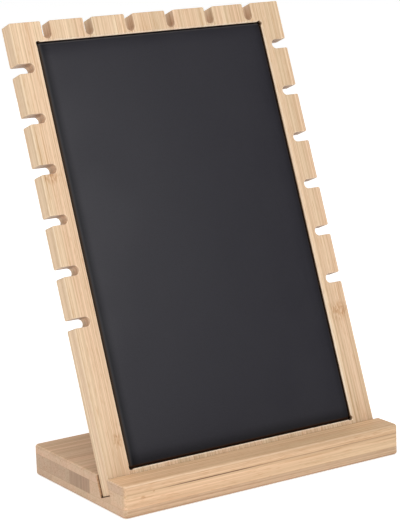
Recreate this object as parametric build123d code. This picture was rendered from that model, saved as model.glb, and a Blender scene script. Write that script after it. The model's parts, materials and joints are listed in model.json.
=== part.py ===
from build123d import *
import math
import os

# A tabletop display stand in bamboo. A notched board with a padded panel let into its front
# stands, tilted back, in a groove across a laminated base.
# Millimetres, +Z up, the front faces -Y. The origin is the middle of the base's underside.

# Base, three plies of slats glued face to face
base_width = 185.0
base_depth = 102.0
bottom_ply = 5.0
core_ply = 8.0
top_ply = 5.0
base_edge_round = 1.5
base_corner_round = 3.0

# Slats, the strips that bamboo board is glued up from
slats_per_ply = 5
board_slat_count = 8
core_rear_slat = 19.5
core_joint_land = 0.2

# Groove that holds the board, open at both ends of the base
board_tilt = 20.0
rail_depth = 18.4
wood_under_groove = 0.6
groove_front_gap = 0.15
groove_back_gap = 0.5
lip_ease = 0.5

# Board, and how far left of the base's middle it stands
board_width = 180.0
board_height = 265.0
board_thickness = 10.0
board_shift = 1.5
board_corner_round = 0.9
board_edge_ease = 0.6

# Notches in the board's top edge and sides
notch_width = 5.4
notch_depth = 10.2
top_notches = 6
top_notch_pitch = 27.0
side_notches = 6
side_notch_pitch = 28.7
first_side_notch = 26.2

# Recess for the padded panel
recess_depth = 4.5
recess_side_land = 4.6
recess_top_land = 1.6
recess_bottom_rail = 11.8
recess_mouth_ease = 0.7
corner_relief_radius = 1.6
corner_relief_bulge = 0.6

# Padded panel, a card and foam wrapped in a thin cover
pad_clearance = 0.5
pad_corner_round = 2.2
pad_roll = 1.4
cover_thickness = 0.5
card_thickness = 1.0
foam_thickness = 2.2
cover_turn_in = 14.0
adhesive_margin = 1.0

# Worked out from the sizes above
tilt = math.radians(board_tilt)
base_height = bottom_ply + core_ply + top_ply
base_front = -base_depth / 2
groove_width = board_thickness + groove_front_gap + groove_back_gap
groove_lip_width = groove_width / math.cos(tilt)
front_lip = base_front + rail_depth
rear_lip = front_lip + groove_lip_width
groove_floor = bottom_ply + wood_under_groove

# The board's frame: X across, Y up the slope, Z out of the front face, origin at its foot
foot_z = groove_floor + (board_thickness + groove_back_gap) * math.sin(tilt)
foot_y = front_lip + groove_front_gap / math.cos(tilt) - (base_height - foot_z) * math.tan(tilt)
board_frame = Plane(
    origin=(-board_shift, foot_y, foot_z),
    x_dir=(1, 0, 0),
    z_dir=(0, -math.cos(tilt), math.sin(tilt)),
)

groove_foot = board_frame.from_local_coords(Vector(0, 0, groove_front_gap))
groove_heel = board_frame.from_local_coords(Vector(0, 0, -board_thickness - groove_back_gap))

notch_radius = notch_width / 2
recess_width = board_width - 2 * (notch_depth + recess_side_land)
recess_top = board_height - notch_depth - recess_top_land
recess_height = recess_top - recess_bottom_rail
recess_middle = recess_bottom_rail + recess_height / 2

ON_FLOOR = (Align.CENTER, Align.CENTER, Align.MIN)
reach = base_width + base_depth + board_height


def slab(axis, low, high):
    """All of space between two planes square to one axis."""
    middle = [0.0, 0.0, 0.0]
    size = [2 * reach, 2 * reach, 2 * reach]
    middle[axis] = (low + high) / 2
    size[axis] = high - low
    return Pos(*middle) * Box(*size)


def even_joints(low, high, count):
    """Edges of slats of one width, laid side by side from low to high."""
    step = (high - low) / count
    return [low + step * number for number in range(count + 1)]


def groove_cutter():
    """The groove's section, with eased lips, run past both ends of the base."""
    below_lip = base_height - lip_ease
    lean = lip_ease * math.tan(tilt)
    above = base_height + lip_ease
    section = Polyline(
        (groove_foot.Y, groove_foot.Z),
        (front_lip - lean, below_lip),
        (front_lip - lean - lip_ease, base_height),
        (front_lip - lean - lip_ease, above),
        (rear_lip - lean + lip_ease, above),
        (rear_lip - lean + lip_ease, base_height),
        (rear_lip - lean, below_lip),
        (groove_heel.Y, groove_heel.Z),
        close=True,
    )
    return extrude(Plane.YZ * make_face(section), reach, both=True)


def base_block():
    """The whole base, eased on its outer edges and grooved."""
    block = Box(base_width, base_depth, base_height, align=ON_FLOOR)
    block = fillet(block.edges().filter_by(Axis.Z), base_corner_round)
    level_edges = block.edges().group_by(Axis.Z)[0] + block.edges().group_by(Axis.Z)[-1]
    block = fillet(level_edges, base_edge_round)
    return block - groove_cutter()


def ply_joints():
    """Where each ply's slats meet, front to rear. The first joints keep clear of the groove's walls."""
    base_rear = base_front + base_depth
    groove_middle = (front_lip + rear_lip) / 2
    core_front = groove_foot.Y - core_joint_land
    core_rear = base_rear - core_rear_slat
    return {
        "bottom": even_joints(base_front, base_rear, slats_per_ply),
        "core": [base_front] + even_joints(core_front, core_rear, slats_per_ply - 2) + [base_rear],
        "top": [base_front] + even_joints(groove_middle, base_rear, slats_per_ply - 1),
    }


def base_slats():
    """The base cut into its plies, and each ply into its slats, front to rear."""
    block = base_block()
    thicknesses = {"bottom": bottom_ply, "core": core_ply, "top": top_ply}
    slats = {}
    low = 0
    for ply, joints in ply_joints().items():
        high = low + thicknesses[ply]
        layer = block & slab(2, low, high)
        for number, (front, rear) in enumerate(zip(joints, joints[1:]), start=1):
            slats[f"base_{ply}_slat_{number}"] = layer & slab(1, front, rear)
        low = high
    return slats


def notch():
    """One notch's outline, pointing down its own -Y, with a full round at the bottom."""
    straight = notch_depth - notch_radius
    mouth = Rectangle(notch_width, 2 * straight)
    return mouth + Pos(0, -straight) * Circle(notch_radius)


def board_outline():
    """The board seen from the front, with its corners and the notches' mouths rounded."""
    notches = []
    for number in range(top_notches):
        across = (number - (top_notches - 1) / 2) * top_notch_pitch
        notches.append(Pos(across, board_height) * notch())
    for number in range(side_notches):
        up = board_height - first_side_notch - number * side_notch_pitch
        notches.append(Pos(board_width / 2, up) * Rot(0, 0, -90) * notch())
        notches.append(Pos(-board_width / 2, up) * Rot(0, 0, 90) * notch())
    outline = Rectangle(board_width, board_height, align=(Align.CENTER, Align.MIN)) - notches
    sharp_corners = [corner for corner in outline.vertices() if on_board_rim(corner)]
    return fillet(sharp_corners, board_corner_round)


def on_board_rim(point):
    """Whether a point of the outline lies on the board's plain rectangle, not inside a notch."""
    to_side = abs(abs(point.X) - board_width / 2)
    to_end = min(abs(point.Y), abs(point.Y - board_height))
    return min(to_side, to_end) < board_corner_round / 10


def corner_reliefs():
    """The cutter's round reliefs in the recess's corners, seen from the front."""
    across = recess_width / 2 + corner_relief_bulge - corner_relief_radius
    up = recess_height / 2 + corner_relief_bulge - corner_relief_radius
    reliefs = []
    for side in (-1, 1):
        for end in (-1, 1):
            reliefs.append(Pos(side * across, recess_middle + end * up) * Circle(corner_relief_radius))
    return reliefs


def board_panel():
    """The whole board lying in its own frame, front face up at Z 0."""
    panel = extrude(board_outline(), -board_thickness)
    faces = panel.faces().group_by(Axis.Z)
    rims = faces[0].edges() + faces[-1].edges()
    panel = fillet(rims, board_edge_ease)
    panel -= extrude(Pos(0, recess_middle) * Rectangle(recess_width, recess_height), -recess_depth)
    mouth = panel.faces().sort_by(Axis.Z)[-1].inner_wires()[0]
    panel = chamfer(mouth.edges(), recess_mouth_ease)
    return panel - [extrude(relief, -recess_depth) for relief in corner_reliefs()]


def board_slats():
    """The board cut along its glue joints, left to right."""
    panel = board_panel()
    joints = even_joints(-board_width / 2, board_width / 2, board_slat_count)
    slats = {}
    for number, (left, right) in enumerate(zip(joints, joints[1:]), start=1):
        slats[f"board_slat_{number}"] = panel & slab(0, left, right)
    return slats


def rolled_block(width, height, low, high, corner, roll):
    """A flat block in the recess with rounded corners and a rolled front edge."""
    block = extrude(Pos(0, recess_middle, low) * RectangleRounded(width, height, corner), high - low)
    if roll == 0:
        return block
    return fillet(block.faces().sort_by(Axis.Z)[-1].edges(), roll)


def pad_pieces():
    """The padded panel's layers, from the recess floor outwards."""
    floor = -recess_depth
    card_low = floor + cover_thickness
    foam_low = card_low + card_thickness
    foam_high = foam_low + foam_thickness
    width = recess_width - 2 * pad_clearance
    height = recess_height - 2 * pad_clearance
    inner_width = width - 2 * cover_thickness
    inner_height = height - 2 * cover_thickness
    inner_corner = pad_corner_round - cover_thickness
    inner_roll = pad_roll - cover_thickness
    window_width = inner_width - 2 * cover_turn_in
    window_height = inner_height - 2 * cover_turn_in

    cover = rolled_block(width, height, floor, foam_high + cover_thickness, pad_corner_round, pad_roll)
    cover -= rolled_block(inner_width, inner_height, card_low, foam_high, inner_corner, inner_roll)
    cover -= rolled_block(window_width, window_height, floor, card_low, inner_corner, 0)
    sheet_width = window_width - 2 * adhesive_margin
    sheet_height = window_height - 2 * adhesive_margin
    return {
        "pad_adhesive_sheet": rolled_block(sheet_width, sheet_height, floor, card_low, inner_corner, 0),
        "pad_card": rolled_block(inner_width, inner_height, card_low, foam_low, inner_corner, 0),
        "pad_foam": rolled_block(inner_width, inner_height, foam_low, foam_high, inner_corner, inner_roll),
        "pad_cover": cover,
    }


def main():
    os.makedirs("parts", exist_ok=True)
    pieces = base_slats()
    leaning = {**board_slats(), **pad_pieces()}
    for name, piece in leaning.items():
        pieces[name] = board_frame.location * piece
    for name, piece in pieces.items():
        export_step(piece, f"parts/{name}.step")


main()
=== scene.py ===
import json
import math
import bmesh
import bpy
from mathutils import Matrix, Vector, noise


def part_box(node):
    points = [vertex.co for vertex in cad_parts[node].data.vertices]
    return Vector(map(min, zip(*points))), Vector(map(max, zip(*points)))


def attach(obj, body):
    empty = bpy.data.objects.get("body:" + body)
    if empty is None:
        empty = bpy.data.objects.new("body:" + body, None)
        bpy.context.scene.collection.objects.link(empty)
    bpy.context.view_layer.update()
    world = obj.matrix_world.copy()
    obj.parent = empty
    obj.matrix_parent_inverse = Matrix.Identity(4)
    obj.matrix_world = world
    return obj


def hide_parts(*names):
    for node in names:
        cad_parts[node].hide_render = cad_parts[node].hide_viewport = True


# A bamboo display stand: a notched board with a padded panel, tilted back in a grooved base.
# Metres, +Z up, the front faces -Y. MM turns a size in millimetres into metres.

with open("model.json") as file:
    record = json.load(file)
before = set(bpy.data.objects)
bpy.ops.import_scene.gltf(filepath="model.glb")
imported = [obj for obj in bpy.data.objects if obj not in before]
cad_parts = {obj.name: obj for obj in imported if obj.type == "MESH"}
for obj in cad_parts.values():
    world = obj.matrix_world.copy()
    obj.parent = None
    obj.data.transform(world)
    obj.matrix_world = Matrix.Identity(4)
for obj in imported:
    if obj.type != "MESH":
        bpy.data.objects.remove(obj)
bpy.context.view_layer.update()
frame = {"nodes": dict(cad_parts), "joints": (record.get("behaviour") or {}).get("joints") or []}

MM = 0.001
BLACK = (0, 0, 0, 1)
WHITE = (1, 1, 1, 1)

# Directions of the tilted board: across it, up its slope, and out of its front face
ACROSS = Vector((1, 0, 0))
SLOPE = Vector(frame["joints"][0]["axis"]).normalized()
OUT = ACROSS.cross(SLOPE)
TILT = math.atan2(SLOPE.y, SLOPE.z)

# Camera
CAMERA_PLACE = Vector((-0.58221, -0.9125, 0.3458))
CAMERA_YAW = math.radians(32.219)
CAMERA_PITCH = math.radians(-11.744)
CAMERA_ROLL = math.radians(-2.1075)
CAMERA_LENS = 135.155

# Studio
WORLD_STRENGTH = 0.46
FLOOR_HALF = 12.0
FLOOR_DROP = 0.2 * MM
FLOOR_COLOUR = (0.75, 0.75, 0.75, 1)
FLOOR_GLOW = 0.64
FLOOR_ROUGHNESS = 0.9
LIGHT_TARGET = Vector((0, 0, 0.12))
LIGHTS = {
    "overhead": {"place": (-0.4, -0.65, 1.7), "size": 1.5, "power": 15.4},
    "front": {"place": (0.5, -1.55, 0.98), "size": 0.6, "power": 3.7},
    "left": {"place": (-1.8, 0.1, 0.6), "size": 1.0, "power": 1.6},
    "back": {"place": (0.3, 1.7, 0.35), "size": 1.2, "power": 3.0},
}

# Bamboo: the dark and the light straw of each kind of slat
STRAWS = {
    "board": ((0.56, 0.385, 0.225), (0.88, 0.685, 0.475)),
    "top": ((0.55, 0.355, 0.20), (0.83, 0.585, 0.37)),
    "core": ((0.53, 0.345, 0.195), (0.85, 0.605, 0.39)),
    "bottom": ((0.43, 0.285, 0.168), (0.69, 0.50, 0.335)),
    "dark": ((0.28, 0.18, 0.108), (0.45, 0.30, 0.195)),
}
# Each slat's own tone; the lower tones of the base's rear slats are partly painted shade
TONES = {
    "board": (1.0, 0.98, 0.95, 0.98, 0.94, 0.96, 0.95, 0.95),
    "top": (0.97, 0.89, 0.91, 0.87, 0.92),
    "core": (1.03, 0.97, 1.0, 0.95, 0.99),
    "bottom": (1.03, 1.02, 0.97, 0.95, 0.88),
}
DARK_SLAT = "base_core_slat_3"
RAIL = "base_top_slat_1"

# Painted shade: the base's front slats grow a little darker along their length, towards the right
RIGHTWARD_SHADE_SLATS = (RAIL, "base_core_slat_1", "base_bottom_slat_1")
RIGHTWARD_SHADE_SPAN = (-50 * MM, 85 * MM)

# What the straw is multiplied by in places: its own hue, grain lines and dashes, nodes and joints, and
# painted light and shade: painted highlights on eased edges, the recess's mouth and the rail's top, and
# painted shade in hollows and gaps and towards the right of the base's front slats
PINK_TINT = (1.03, 0.96, 0.96, 1)
LINE_TINT = (0.75, 0.63, 0.50, 1)
DASH_TINT = (0.88, 0.80, 0.72, 1)
EDGE_HIGHLIGHT_TINT = (1.12, 1.19, 1.27, 1)
MOUTH_HIGHLIGHT_TINT = (1.12, 1.16, 1.22, 1)
RAIL_TOP_LIGHT_TINT = (1.11, 1.11, 1.09, 1)
RIGHTWARD_SHADE_TINT = (0.91, 0.92, 0.91, 1)
CAVITY_SHADE_TINT = (0.72, 0.52, 0.35, 1)
GAP_SHADE_TINT = (0.06, 0.04, 0.03, 1)
MARK_TINT = (0.76, 0.63, 0.50, 1)
JOINT_TINT = (0.76, 0.65, 0.54, 1)
OPEN_JOINT_TINT = (0.16, 0.09, 0.05, 1)

# What it is multiplied by on the ends of slats, by their kind or by a slat's own name
END_TINTS = {
    "board": (0.69, 0.70, 0.75, 1),
    "top": (0.94, 0.95, 1.03, 1),
    "core": (0.69, 0.70, 0.74, 1),
    "bottom": (1.02, 1.03, 1.05, 1),
    RAIL: (0.84, 0.86, 0.94, 1),
    "base_core_slat_1": (0.87, 0.89, 0.93, 1),
    "base_core_slat_2": (0.84, 0.86, 0.90, 1),
}

# Bamboo's fibres, in millimetres: width across and length along
FIBRES = {
    "broad": (5.0, 400.0),
    "fibre": (1.4, 220.0),
    "fine": (0.75, 150.0),
    "hue": (9.0, 300.0),
    "dash": (0.4, 7.0),
    "strand": (1.5, 70.0),
    "node": (0.9, 2.4),
}
STREAK_ROUGHNESS = 0.55
STREAK_RANGE = (0.28, 0.72)
BROAD_SHARE = 0.2
FIBRE_SHARE = 0.3
FINE_SHARE = 0.5
MIDDLE_TONE = 0.5
END_EVENNESS = 0.6
BAMBOO_ROUGHNESS = (0.58, 0.45)
BAMBOO_GLOSS = 0.3
BAMBOO_RELIEF = {"Strength": 0.2, "Distance": 0.1 * MM}
BOARD_SEED_STEP = 3.7
BASE_SEED = 41
BASE_SEED_STEP = 2.3

# Where each mask begins and where it is full: by how squarely a face looks one way, by how open
# a place is, or by a pattern's own value
END_FACING = (0.6, 0.95)
RAIL_TOP_FACING = (0.9, 0.99)
EDGE_OFF_SIDE = (0.4, 0.6)
EDGE_OFF_FACE = (0.97, 0.85)
HOLLOW_OPENNESS = (0.6, 0.28)
GAP_OPENNESS = (0.62, 0.3)
OPENNESS_SAMPLES = 8
STRAND_RANGE = (0.5, 0.15)
DASH_RANGE = (0.75, 1.0)
NODE_FADE = (1.0, 0.2)
NODE_STROKES = (0.2, 0.8, 0.1, 1.0)

# Bamboo nodes in millimetres: place and half size, each across, deep and along the fibres.
# A half size of EVER leaves that direction out.
EVER = 1e6
MARKS = {
    "board_slat_1": (((-84.0, 0, 176.3), (7.0, EVER, 5.0)), ((-79.3, 0, 28.8), (4.5, EVER, 6.0))),
    "board_slat_8": (((83.0, 0, 75.6), (10.0, EVER, 8.0)),),
    "base_core_slat_1": (((0, 12.4, -73.8), (EVER, 0.8, 1.0)), ((0, 10.0, -80.8), (EVER, 1.8, 2.2))),
}

# Glue joints, the recess's mouth, how far around a place its openness is felt for the painted shade in
# hollows and gaps, and the share of that shade on walls facing across
JOINT_HALF = 0.16 * MM
MOUTH_MARGIN = 1.5 * MM
HOLLOW_REACH = 12 * MM
GAP_REACH = 3 * MM
NOTCH_WALL_SHARE = 0.45

# The open joint along the base's front: its height, and where it begins and deepens
OPEN_JOINT_HALF = 0.5 * MM
OPEN_JOINT_HEIGHT = 13.0 * MM
OPEN_JOINT_NODES = (RAIL, "base_core_slat_1")
OPEN_JOINT_FROM = (-76 * MM, -48 * MM)
OPEN_JOINT_TO = (5 * MM, -22 * MM)
OPEN_JOINT_LEAST = 0.25

# Padded panel: its shape, with the grid's steps from the edge and the side rings in millimetres
PAD_CORNER = 1.6 * MM
PAD_LEAST_CORNER = 0.4 * MM
PAD_ROLL = 1.5 * MM
PAD_SHOULDER = 12.0 * MM
PAD_SHOULDER_DROPS = {"left": 0.1 * MM, "right": 0.65 * MM, "bottom": 1.0 * MM, "top": 0.55 * MM}
PAD_CROWN = 0.5 * MM
PAD_GRID = 4.0 * MM
PAD_EDGE_STEPS = (0, 0.12, 0.35, 0.7, 1.2, 1.8, 2.6, 3.8, 5.2, 7.0, 9.0, 12.0)
PAD_SIDE_RINGS = ((0.0, 1.1), (0.05, 0.6), (0.25, 0.15), (0.7, 0.0), (3.0, 0.0), (8.0, 0.0), (14.0, 0.0))
PAD_WOBBLE = 0.08 * MM
PAD_RIPPLE = 0.05 * MM
WOBBLE_SCALE = 25
RIPPLE_SCALE = 28
RIPPLE_LAYER = 0.5
PLEATS = 7
PLEAT_DEPTH = 0.1 * MM
PLEAT_REACH = 5.0 * MM
COVER_THICKNESS = 0.5 * MM

# Padded panel: its look, with the width and share of the painted shade along each side, and the
# painted lines on its rolled edges, the wider first: light ones are painted highlights, warm ones
# painted reflections of the wood beside them
PAD_SHADES = {
    "left": (7.5 * MM, 0.63),
    "right": (6.5 * MM, 0.35),
    "bottom": (9.0 * MM, 0.56),
    "top": (8.5 * MM, 0.15),
}
PAD_EDGE_HIGHLIGHTS_AND_REFLECTIONS = (
    ("left", 2.8 * MM, (0.048, 0.048, 0.050, 1)),
    ("left", 1.7 * MM, (0.044, 0.025, 0.013, 1)),
    ("bottom", 1.7 * MM, (0.050, 0.020, 0.008, 1)),
    ("top", 1.4 * MM, (0.085, 0.085, 0.090, 1)),
)
PEBBLE_SIZE = 0.8 * MM
PEBBLE_RANGE = (0.0, 0.25)
CLOUD_SCALE = 35.0
LEATHERETTE_ROUGHNESS = (0.29, 0.35)
LEATHERETTE_GLOSS = 0.41
LEATHERETTE_RELIEF = {"Strength": 0.3, "Distance": 0.05 * MM}
LEATHERETTE_COLOURS = ((0.0066, 0.0057, 0.0103, 1), (0.0104, 0.0092, 0.0164, 1))
CARD_COLOURS = ((0.30, 0.28, 0.26, 1), (0.40, 0.38, 0.35, 1))
CARD_SPECKLE = 0.5 * MM
CARD_ROUGHNESS = 0.9
ADHESIVE_COLOURS = ((0.66, 0.63, 0.56, 1), (0.74, 0.71, 0.64, 1))
ADHESIVE_SPECKLE = 2 * MM
ADHESIVE_ROUGHNESS = 0.4
SPECKLE_RELIEF = {"Strength": 0.3, "Distance": 0.1 * MM}
NOISE_DETAIL = 3.0
NOISE_RANGE = (0.3, 0.7)


def add(tree, kind, inputs=None, **settings):
    """Adds a node, sets its properties, and links or fills its inputs."""
    made = tree.nodes.new(kind)
    for key, value in settings.items():
        setattr(made, key, value)
    for key, value in (inputs or {}).items():
        if isinstance(value, bpy.types.NodeSocket):
            tree.links.new(value, made.inputs[key])
        else:
            made.inputs[key].default_value = value
    return made


def maths(tree, operation, *values):
    """The result of one sum on sockets or numbers."""
    return add(tree, "ShaderNodeMath", dict(enumerate(values)), operation=operation).outputs[0]


def vectors(tree, operation, first, second):
    """The result of one sum on two vectors."""
    return add(tree, "ShaderNodeVectorMath", {0: first, 1: second}, operation=operation).outputs[0]


def spread(tree, value, low, high, to_low=0.0, to_high=1.0):
    """A value brought smoothly from one range into another, and held there."""
    inputs = {"Value": value, "From Min": low, "From Max": high, "To Min": to_low, "To Max": to_high}
    made = add(tree, "ShaderNodeMapRange", inputs, interpolation_type="SMOOTHSTEP")
    return made.outputs["Result"]


def mix(tree, share, first, second, blend="MIX"):
    """A colour between two others, or one multiplied by the other by a share."""
    inputs = {0: share, 6: first, 7: second}
    return add(tree, "ShaderNodeMix", inputs, data_type="RGBA", blend_type=blend).outputs[2]


def drawn_out(tree, grain, kind):
    """Grain coordinates counted in fibres of one kind."""
    across, along = (size * MM for size in FIBRES[kind])
    return vectors(tree, "MULTIPLY", grain, (1 / across, 1 / across, 1 / along))


def streaks(tree, grain, seed, kind):
    """Noise drawn out along the grain, from nought to one."""
    scaled = drawn_out(tree, grain, kind)
    inputs = {"Vector": scaled, "W": seed, "Scale": 1.0, "Detail": 1.0, "Roughness": STREAK_ROUGHNESS}
    made = add(tree, "ShaderNodeTexNoise", inputs, noise_dimensions="4D")
    return spread(tree, made.outputs[0], *STREAK_RANGE)


def new_material(name):
    """An empty material with its shader."""
    material = bpy.data.materials.new(name)
    material.use_nodes = True
    return material, material.node_tree, material.node_tree.nodes["Principled BSDF"]


def fibre_group():
    """Bamboo's fibres, from grain coordinates: across, depth and along."""
    tree = bpy.data.node_groups.new("bamboo_fibres", "ShaderNodeTree")
    tree.interface.new_socket("Grain", in_out="INPUT", socket_type="NodeSocketVector")
    tree.interface.new_socket("Seed", in_out="INPUT", socket_type="NodeSocketFloat")
    for name in ("Tone", "Hue", "Line", "Dash", "Relief"):
        tree.interface.new_socket(name, in_out="OUTPUT", socket_type="NodeSocketFloat")
    given = tree.nodes.new("NodeGroupInput").outputs
    result = tree.nodes.new("NodeGroupOutput").inputs
    grain, seed = given["Grain"], given["Seed"]

    broad = streaks(tree, grain, seed, "broad")
    fibre = streaks(tree, grain, seed, "fibre")
    fine = streaks(tree, grain, seed, "fine")
    hue = streaks(tree, grain, seed, "hue")
    dashes = streaks(tree, grain, seed, "dash")
    inputs = {"Vector": drawn_out(tree, grain, "strand"), "W": seed, "Scale": 1.0}
    strands = add(tree, "ShaderNodeTexVoronoi", inputs, voronoi_dimensions="4D")

    tone = maths(tree, "MULTIPLY_ADD", fibre, FIBRE_SHARE, maths(tree, "MULTIPLY", broad, BROAD_SHARE))
    tone = maths(tree, "MULTIPLY_ADD", fine, FINE_SHARE, tone)
    line = maths(tree, "MULTIPLY", spread(tree, strands.outputs["Distance"], *STRAND_RANGE), fibre)
    tree.links.new(tone, result["Tone"])
    tree.links.new(hue, result["Hue"])
    tree.links.new(line, result["Line"])
    tree.links.new(spread(tree, dashes, *DASH_RANGE), result["Dash"])
    tree.links.new(maths(tree, "MULTIPLY_ADD", fine, FINE_SHARE, fibre), result["Relief"])
    return tree


def grain_coordinates(tree, lie):
    """Places on a slat as across, depth and along its fibres, and how squarely a face looks each way."""
    place = add(tree, "ShaderNodeTexCoord").outputs
    turn, origin = LIES[lie]
    placing = {"Vector": place["Object"], "Rotation": turn, "Location": origin}
    turning = {"Vector": place["Normal"], "Rotation": turn}
    grain = add(tree, "ShaderNodeMapping", placing)
    facing = add(tree, "ShaderNodeMapping", turning, vector_type="VECTOR")
    squarely = add(tree, "ShaderNodeVectorMath", {0: facing.outputs[0]}, operation="ABSOLUTE").outputs[0]
    return grain.outputs[0], add(tree, "ShaderNodeSeparateXYZ", {0: squarely}).outputs


def mark_mask(tree, grain, seed, mark):
    """A bamboo node: a soft oval of short strokes along the fibres."""
    centre, half = (tuple(size * MM for size in sizes) for sizes in mark)
    shifted = vectors(tree, "SUBTRACT", grain, centre)
    scaled = vectors(tree, "DIVIDE", shifted, half)
    length = add(tree, "ShaderNodeVectorMath", {0: scaled}, operation="LENGTH").outputs["Value"]
    strokes = spread(tree, streaks(tree, grain, seed, "node"), *NODE_STROKES)
    return maths(tree, "MULTIPLY", spread(tree, length, *NODE_FADE), strokes)


def joint_mask(tree, parts, joints, half):
    """Thin lines where a slat meets its neighbours."""
    mask = 0.0
    for axis, place in joints:
        away = maths(tree, "ABSOLUTE", maths(tree, "SUBTRACT", parts[axis], place))
        mask = maths(tree, "MAXIMUM", mask, spread(tree, away, half, 0.0))
    return mask


def openness(tree, distance):
    """How open a place is, from nought to one, within a distance around it."""
    inputs = {"Distance": distance}
    return add(tree, "ShaderNodeAmbientOcclusion", inputs, samples=OPENNESS_SAMPLES).outputs["AO"]


def bamboo(name, fibres, kind, tone, seed, joints):
    """One slat's bamboo."""
    material, tree, shader = new_material(name)
    lie = {"board": "board", "dark": "upright"}.get(kind, "base")
    grain, squarely = grain_coordinates(tree, lie)
    parts = add(tree, "ShaderNodeSeparateXYZ", {0: grain}).outputs
    look = add(tree, "ShaderNodeGroup", node_tree=fibres)
    tree.links.new(grain, look.inputs["Grain"])
    look.inputs["Seed"].default_value = seed
    dark, light = (tuple(part * tone for part in colour) + (1,) for colour in STRAWS[kind])
    end = spread(tree, squarely[2], *END_FACING)
    to_middle = maths(tree, "SUBTRACT", MIDDLE_TONE, look.outputs["Tone"])
    evened = maths(tree, "MULTIPLY", to_middle, END_EVENNESS)
    colour = mix(tree, maths(tree, "MULTIPLY_ADD", end, evened, look.outputs["Tone"]), dark, light)
    colour = mix(tree, look.outputs["Hue"], colour, PINK_TINT, "MULTIPLY")
    colour = mix(tree, look.outputs["Line"], colour, LINE_TINT, "MULTIPLY")
    colour = mix(tree, look.outputs["Dash"], colour, DASH_TINT, "MULTIPLY")
    for number, mark in enumerate(MARKS.get(name, ())):
        colour = mix(tree, mark_mask(tree, grain, seed + number, mark), colour, MARK_TINT, "MULTIPLY")
    end_tint = END_TINTS.get(name, END_TINTS.get(kind))
    if end_tint:
        colour = mix(tree, end, colour, end_tint, "MULTIPLY")
    colour = mix(tree, joint_mask(tree, parts, joints, JOINT_HALF), colour, JOINT_TINT, "MULTIPLY")
    if name in OPEN_JOINT_NODES:
        line = joint_mask(tree, parts, [(1, OPEN_JOINT_HEIGHT)], OPEN_JOINT_HALF)
        line = maths(tree, "MULTIPLY", line, spread(tree, parts[2], *OPEN_JOINT_FROM))
        line = maths(tree, "MULTIPLY", line, spread(tree, parts[2], *OPEN_JOINT_TO, OPEN_JOINT_LEAST, 1.0))
        colour = mix(tree, line, colour, OPEN_JOINT_TINT, "MULTIPLY")
    # Painted shade: the base's front slats darker towards their right end
    if name in RIGHTWARD_SHADE_SLATS:
        colour = mix(tree, spread(tree, parts[2], *RIGHTWARD_SHADE_SPAN), colour, RIGHTWARD_SHADE_TINT, "MULTIPLY")
    # Painted light: the rail's top face is lightened, as if lit from above
    if name == RAIL:
        rail_top = spread(tree, squarely[1], *RAIL_TOP_FACING)
        colour = mix(tree, rail_top, colour, RAIL_TOP_LIGHT_TINT, "MULTIPLY")
    # Painted highlight: eased edges, between the faces, are lighter and cooler
    not_side = spread(tree, squarely[1], *EDGE_OFF_SIDE)
    edge = maths(tree, "MULTIPLY", not_side, spread(tree, squarely[1], *EDGE_OFF_FACE))
    colour = mix(tree, edge, colour, EDGE_HIGHLIGHT_TINT, "MULTIPLY")
    # Painted highlight: the eased mouth of the recess is lightened further
    if kind == "board":
        across = maths(tree, "LESS_THAN", maths(tree, "ABSOLUTE", parts[0]), mouth_side)
        mouth = maths(tree, "MULTIPLY", across, maths(tree, "LESS_THAN", parts[2], mouth_top))
        colour = mix(tree, maths(tree, "MULTIPLY", edge, mouth), colour, MOUTH_HIGHLIGHT_TINT, "MULTIPLY")
    # Painted shade: closed-in places such as the notches turn darker and browner, less so on walls facing
    # across
    sheltered = maths(tree, "SUBTRACT", 1.0, edge)
    around = openness(tree, HOLLOW_REACH)
    hollow_shade = maths(tree, "MULTIPLY", sheltered, spread(tree, around, *HOLLOW_OPENNESS))
    if kind == "board":
        on_wall = spread(tree, squarely[0], 0.0, 1.0, 1.0, NOTCH_WALL_SHARE)
        hollow_shade = maths(tree, "MULTIPLY", hollow_shade, on_wall)
    colour = mix(tree, hollow_shade, colour, CAVITY_SHADE_TINT, "MULTIPLY")
    # Painted shade: narrow gaps, such as around the pad, turn nearly black
    close_by = openness(tree, GAP_REACH)
    gap_shade = maths(tree, "MULTIPLY", sheltered, spread(tree, close_by, *GAP_OPENNESS))
    colour = mix(tree, gap_shade, colour, GAP_SHADE_TINT, "MULTIPLY")
    tree.links.new(colour, shader.inputs["Base Color"])
    roughness = spread(tree, look.outputs["Tone"], 0.0, 1.0, *BAMBOO_ROUGHNESS)
    tree.links.new(roughness, shader.inputs["Roughness"])
    bump = add(tree, "ShaderNodeBump", {"Height": look.outputs["Relief"], **BAMBOO_RELIEF})
    tree.links.new(bump.outputs[0], shader.inputs["Normal"])
    shader.inputs["Specular IOR Level"].default_value = BAMBOO_GLOSS
    return material


def near_side(tree, parts, side, width, share):
    """Nought over most of the pad, rising to a share along one side."""
    axis, place = pad_sides[side]
    away = maths(tree, "ABSOLUTE", maths(tree, "SUBTRACT", parts[axis], place))
    return spread(tree, away, width, 0.0, 0.0, share)


def pad_shade(tree, parts):
    """How much the pad darkens towards its sides, where it sinks into the recess."""
    lit = 1.0
    for side, (width, share) in PAD_SHADES.items():
        unlit = near_side(tree, parts, side, width, share)
        lit = maths(tree, "MULTIPLY", lit, maths(tree, "SUBTRACT", 1.0, unlit))
    return maths(tree, "SUBTRACT", 1.0, lit)


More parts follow.
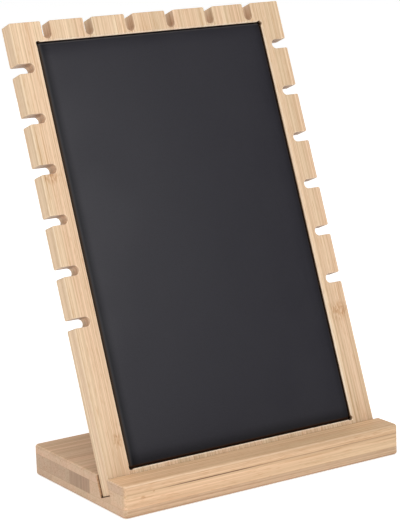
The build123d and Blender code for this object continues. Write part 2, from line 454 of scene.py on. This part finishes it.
def leatherette():
    """Thin black leather-like plastic with a fine matt grain."""
    material, tree, shader = new_material("leatherette")
    place = add(tree, "ShaderNodeTexCoord").outputs["Object"]
    grain = {"Vector": place, "Scale": 1 / PEBBLE_SIZE}
    pebbles = add(tree, "ShaderNodeTexVoronoi", grain, feature="DISTANCE_TO_EDGE")
    pebble = spread(tree, pebbles.outputs["Distance"], *PEBBLE_RANGE)
    inputs = {"Vector": place, "Scale": CLOUD_SCALE, "Detail": NOISE_DETAIL}
    cloud = add(tree, "ShaderNodeTexNoise", inputs).outputs[0]
    parts = add(tree, "ShaderNodeSeparateXYZ", {0: grain_coordinates(tree, "board")[0]}).outputs
    shade = pad_shade(tree, parts)
    colour = mix(tree, shade, mix(tree, pebble, *LEATHERETTE_COLOURS), BLACK)
    # Painted highlights and painted reflections of the wood along the pad's rolled edges
    for side, width, edge_light_colour in PAD_EDGE_HIGHLIGHTS_AND_REFLECTIONS:
        colour = mix(tree, near_side(tree, parts, side, width, 1.0), colour, edge_light_colour)
    tree.links.new(colour, shader.inputs["Base Color"])
    tree.links.new(mix(tree, shade, WHITE, BLACK), shader.inputs["Specular Tint"])
    roughness = spread(tree, cloud, *NOISE_RANGE, *LEATHERETTE_ROUGHNESS)
    tree.links.new(roughness, shader.inputs["Roughness"])
    bump = add(tree, "ShaderNodeBump", {"Height": pebble, **LEATHERETTE_RELIEF})
    tree.links.new(bump.outputs[0], shader.inputs["Normal"])
    shader.inputs["Specular IOR Level"].default_value = LEATHERETTE_GLOSS
    return material


def speckled(name, colours, size, roughness):
    """A dull material with a fine speckle, for the layers inside the pad."""
    material, tree, shader = new_material(name)
    place = add(tree, "ShaderNodeTexCoord").outputs["Object"]
    inputs = {"Vector": place, "Scale": 1 / size, "Detail": NOISE_DETAIL}
    speckle = add(tree, "ShaderNodeTexNoise", inputs).outputs[0]
    colour = mix(tree, spread(tree, speckle, *NOISE_RANGE), *colours)
    tree.links.new(colour, shader.inputs["Base Color"])
    bump = add(tree, "ShaderNodeBump", {"Height": speckle, **SPECKLE_RELIEF})
    tree.links.new(bump.outputs[0], shader.inputs["Normal"])
    shader.inputs["Roughness"].default_value = roughness
    return material


def reach(node, direction):
    """The lowest and highest place of a node along a direction."""
    places = [vertex.co.dot(direction) for vertex in frame["nodes"][node].data.vertices]
    return min(places), max(places)


def grid_lines(half):
    """Grid lines of the pad from one edge to the other, close together near both edges."""
    steps = [step * MM for step in PAD_EDGE_STEPS]
    inner = half - steps[-1]
    count = round(2 * inner / PAD_GRID)
    middle = [-inner + 2 * inner * number / count for number in range(count + 1)]
    near_edge = [step - half for step in steps[:-1]]
    return near_edge + middle + [-place for place in reversed(near_edge)]


def round_corner(x, y, half_x, half_y, radius):
    """Moves a point of a plain rectangle so that the rectangle's corners become round."""
    u = (abs(x) - half_x + radius) / radius
    v = (abs(y) - half_y + radius) / radius
    if u <= 0 or v <= 0:
        return x, y
    round_x = half_x - radius + radius * u * math.sqrt(1 - v * v / 2)
    round_y = half_y - radius + radius * v * math.sqrt(1 - u * u / 2)
    return math.copysign(round_x, x), math.copysign(round_y, y)


def inside(x, y, half_x, half_y, radius):
    """How far a point lies inside the rounded outline."""
    u = abs(x) - half_x + radius
    v = abs(y) - half_y + radius
    return radius - math.hypot(max(u, 0), max(v, 0)) - min(max(u, v), 0)


def shoulder_drop(x, y, half_x, half_y):
    """How far the pad's front falls towards its sides."""
    to_sides = {"left": half_x + x, "right": half_x - x, "bottom": half_y + y, "top": half_y - y}
    falls = []
    for side, to_side in to_sides.items():
        falls.append(PAD_SHOULDER_DROPS[side] * max(1 - to_side / PAD_SHOULDER, 0) ** 2)
    return math.hypot(*falls)


def pad_front(x, y, half_x, half_y):
    """Height of the pad's front: slightly crowned, with soft shoulders, a tight roll and corner pleats."""
    to_edge = max(inside(x, y, half_x, half_y, PAD_CORNER), 0)
    lean = max(PAD_ROLL - to_edge, 0)
    roll = PAD_ROLL - math.sqrt(PAD_ROLL ** 2 - lean ** 2)
    crown = PAD_CROWN * (1 - (x / half_x) ** 2) * (1 - (y / half_y) ** 2)
    ripple = PAD_RIPPLE * noise.noise(Vector((x, y, RIPPLE_LAYER)) * RIPPLE_SCALE)
    from_corner = Vector((half_x - PAD_CORNER - abs(x), half_y - PAD_CORNER - abs(y)))
    fade = math.exp(-(from_corner.length / PLEAT_REACH) ** 2)
    pleat = PLEAT_DEPTH * fade * math.cos(PLEATS * math.atan2(from_corner.y, from_corner.x))
    return crown + ripple + pleat - roll - shoulder_drop(x, y, half_x, half_y)


def pad_mesh(name, half_x, half_y, middle, front, back):
    """The pad's skin: its front and the rings that go down its sides and in behind."""
    lines_x = grid_lines(half_x)
    lines_y = grid_lines(half_y)
    mesh = bmesh.new()

    def place(x, y, height):
        sway = noise.noise_vector(Vector((x, y, 0)) * WOBBLE_SCALE) * PAD_WOBBLE
        across = middle[0] + x + sway.x
        up = middle[1] + y + sway.y
        return mesh.verts.new(ACROSS * across + SLOPE * up + OUT * height)

    rows = []
    for y in lines_y:
        row = []
        for x in lines_x:
            round_x, round_y = round_corner(x, y, half_x, half_y, PAD_CORNER)
            row.append(place(round_x, round_y, front + pad_front(round_x, round_y, half_x, half_y)))
        rows.append(row)
    for low, high in zip(rows, rows[1:]):
        for number in range(len(low) - 1):
            mesh.faces.new((low[number], low[number + 1], high[number + 1], high[number]))

    rim = [(x, lines_y[0]) for x in lines_x]
    rim += [(lines_x[-1], y) for y in lines_y[1:]]
    rim += [(x, lines_y[-1]) for x in reversed(lines_x[:-1])]
    rim += [(lines_x[0], y) for y in reversed(lines_y[1:-1])]
    ring = rows[0] + [row[-1] for row in rows[1:]] + rows[-1][-2::-1] + [row[0] for row in rows[-2:0:-1]]
    for inset, height in PAD_SIDE_RINGS:
        ring_x = half_x - inset * MM
        ring_y = half_y - inset * MM
        radius = max(PAD_CORNER - inset * MM, PAD_LEAST_CORNER)
        below = []
        for x, y in rim:
            drawn_x = x * ring_x / half_x
            drawn_y = y * ring_y / half_y
            round_x, round_y = round_corner(drawn_x, drawn_y, ring_x, ring_y, radius)
            below.append(place(round_x, round_y, back + height * MM))
        for number in range(len(ring)):
            mesh.faces.new((ring[number - 1], below[number - 1], below[number], ring[number]))
        ring = below
    data = bpy.data.meshes.new(name)
    mesh.normal_update()
    mesh.to_mesh(data)
    mesh.free()
    for face in data.polygons:
        face.use_smooth = True
    piece = bpy.data.objects.new(name, data)
    bpy.context.scene.collection.objects.link(piece)
    return piece


def make_pad():
    """The cover of the padded panel."""
    left, right = reach("pad_cover", ACROSS)
    bottom, top = reach("pad_cover", SLOPE)
    back, front = reach("pad_cover", OUT)
    half_x = (right - left) / 2
    half_y = (top - bottom) / 2
    middle = ((left + right) / 2, (bottom + top) / 2)
    cover = pad_mesh("padded_panel_cover", half_x, half_y, middle, front, back)
    thick = cover.modifiers.new("thickness", "SOLIDIFY")
    thick.thickness = COVER_THICKNESS
    thick.offset = -1
    cover.modifiers.new("smooth", "SUBSURF").render_levels = 1
    cover.data.materials.append(leatherette())
    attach(cover, "board")
    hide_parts("pad_cover", "pad_foam")


def inner_joints(nodes, axis, grain_axis, origin=0.0):
    """For each slat, where it meets its neighbours along one axis, in grain coordinates."""
    boxes = {node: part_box(node) for node in nodes}
    ends = (min(low[axis] for low, high in boxes.values()), max(high[axis] for low, high in boxes.values()))
    joints = {}
    for node, sides in boxes.items():
        inner = [side[axis] for side in sides if min(abs(side[axis] - end) for end in ends) > MM]
        joints[node] = [(grain_axis, place - origin) for place in inner]
    return joints


def dress_frame():
    """Materials for the pieces that are already there."""
    fibres = fibre_group()
    looks = {
        "pad_card": speckled("card", CARD_COLOURS, CARD_SPECKLE, CARD_ROUGHNESS),
        "pad_adhesive_sheet": speckled("adhesive", ADHESIVE_COLOURS, ADHESIVE_SPECKLE, ADHESIVE_ROUGHNESS),
    }
    board_joints = inner_joints(board_slats, 0, 0, board_middle)
    for number, (node, tone) in enumerate(zip(board_slats, TONES["board"])):
        looks[node] = bamboo(node, fibres, "board", tone, BOARD_SEED_STEP * number, board_joints[node])
    between_slats = inner_joints(base_slats, 1, 0)
    between_plies = inner_joints(base_slats, 2, 1)
    for number, node in enumerate(base_slats):
        ply, place = node.split("_")[1], int(node.split("_")[-1])
        kind = "dark" if node == DARK_SLAT else ply
        joints = [] if node == DARK_SLAT else between_slats[node] + between_plies[node]
        seed = BASE_SEED + BASE_SEED_STEP * number
        looks[node] = bamboo(node, fibres, kind, TONES[ply][place - 1], seed, joints)
    for node, material in looks.items():
        slots = frame["nodes"][node].data.materials
        slots.clear()
        slots.append(material)


def make_camera():
    """The camera, in front of the stand, to its left and a little above."""
    level = Vector((math.cos(CAMERA_YAW), -math.sin(CAMERA_YAW), 0))
    forward = Vector((
        math.sin(CAMERA_YAW) * math.cos(CAMERA_PITCH),
        math.cos(CAMERA_YAW) * math.cos(CAMERA_PITCH),
        math.sin(CAMERA_PITCH),
    ))
    upright = level.cross(forward)
    right = level * math.cos(CAMERA_ROLL) + upright * math.sin(CAMERA_ROLL)
    up = upright * math.cos(CAMERA_ROLL) - level * math.sin(CAMERA_ROLL)
    data = bpy.data.cameras.new("camera")
    data.lens = CAMERA_LENS
    camera = bpy.data.objects.new("camera", data)
    turn = Matrix((right, up, -forward)).transposed().to_4x4()
    camera.matrix_world = Matrix.Translation(CAMERA_PLACE) @ turn
    bpy.context.scene.collection.objects.link(camera)
    bpy.context.scene.camera = camera


def make_studio():
    """A pale floor, a white room and large soft lights."""
    signs = ((-1, -1), (1, -1), (1, 1), (-1, 1))
    data = bpy.data.meshes.new("floor")
    data.from_pydata([(x * FLOOR_HALF, y * FLOOR_HALF, -FLOOR_DROP) for x, y in signs], [], [(0, 1, 2, 3)])
    floor = bpy.data.objects.new("floor", data)
    bpy.context.scene.collection.objects.link(floor)
    material, tree, shader = new_material("floor")
    shader.inputs["Base Color"].default_value = FLOOR_COLOUR
    shader.inputs["Roughness"].default_value = FLOOR_ROUGHNESS
    shader.inputs["Specular IOR Level"].default_value = 0.0
    shader.inputs["Emission Color"].default_value = WHITE
    shader.inputs["Emission Strength"].default_value = FLOOR_GLOW
    data.materials.append(material)

    world = bpy.data.worlds.new("studio")
    world.use_nodes = True
    sky = world.node_tree.nodes["Background"]
    sky.inputs["Color"].default_value = WHITE
    sky.inputs["Strength"].default_value = WORLD_STRENGTH
    bpy.context.scene.world = world
    bpy.context.scene.view_settings.view_transform = "Standard"

    for name, about in LIGHTS.items():
        light = bpy.data.lights.new(name, "AREA")
        light.size = about["size"]
        light.energy = about["power"]
        lamp = bpy.data.objects.new(name, light)
        lamp.location = about["place"]
        lamp.rotation_euler = (LIGHT_TARGET - lamp.location).to_track_quat("-Z", "Y").to_euler()
        bpy.context.scene.collection.objects.link(lamp)


board_slats = [f"board_slat_{number}" for number in range(1, 9)]
base_slats = [f"base_{ply}_slat_{number}" for ply in ("bottom", "core", "top") for number in range(1, 6)]
board_middle = (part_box(board_slats[0])[0].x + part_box(board_slats[-1])[1].x) / 2
board_foot = reach(board_slats[0], SLOPE)[0]

# The pad's sides, each by its grain axis and place, from the board's middle and from its foot
pad_sides = {
    "left": (0, reach("pad_cover", ACROSS)[0] - board_middle),
    "right": (0, reach("pad_cover", ACROSS)[1] - board_middle),
    "bottom": (2, reach("pad_cover", SLOPE)[0] - board_foot),
    "top": (2, reach("pad_cover", SLOPE)[1] - board_foot),
}

# Just past the eased mouth of the recess
mouth_side = pad_sides["right"][1] + MOUTH_MARGIN
mouth_top = pad_sides["top"][1] + MOUTH_MARGIN

# How the fibres lie: the turn and shift that bring places to across, depth and along them
LIES = {
    "board": ((TILT, 0, 0), (-board_middle, 0, -board_foot)),
    "base": ((0, math.radians(-90), math.radians(-90)), (0, 0, 0)),
    "upright": ((0, 0, 0), (0, 0, 0)),
}

make_camera()
make_studio()
dress_frame()
make_pad()
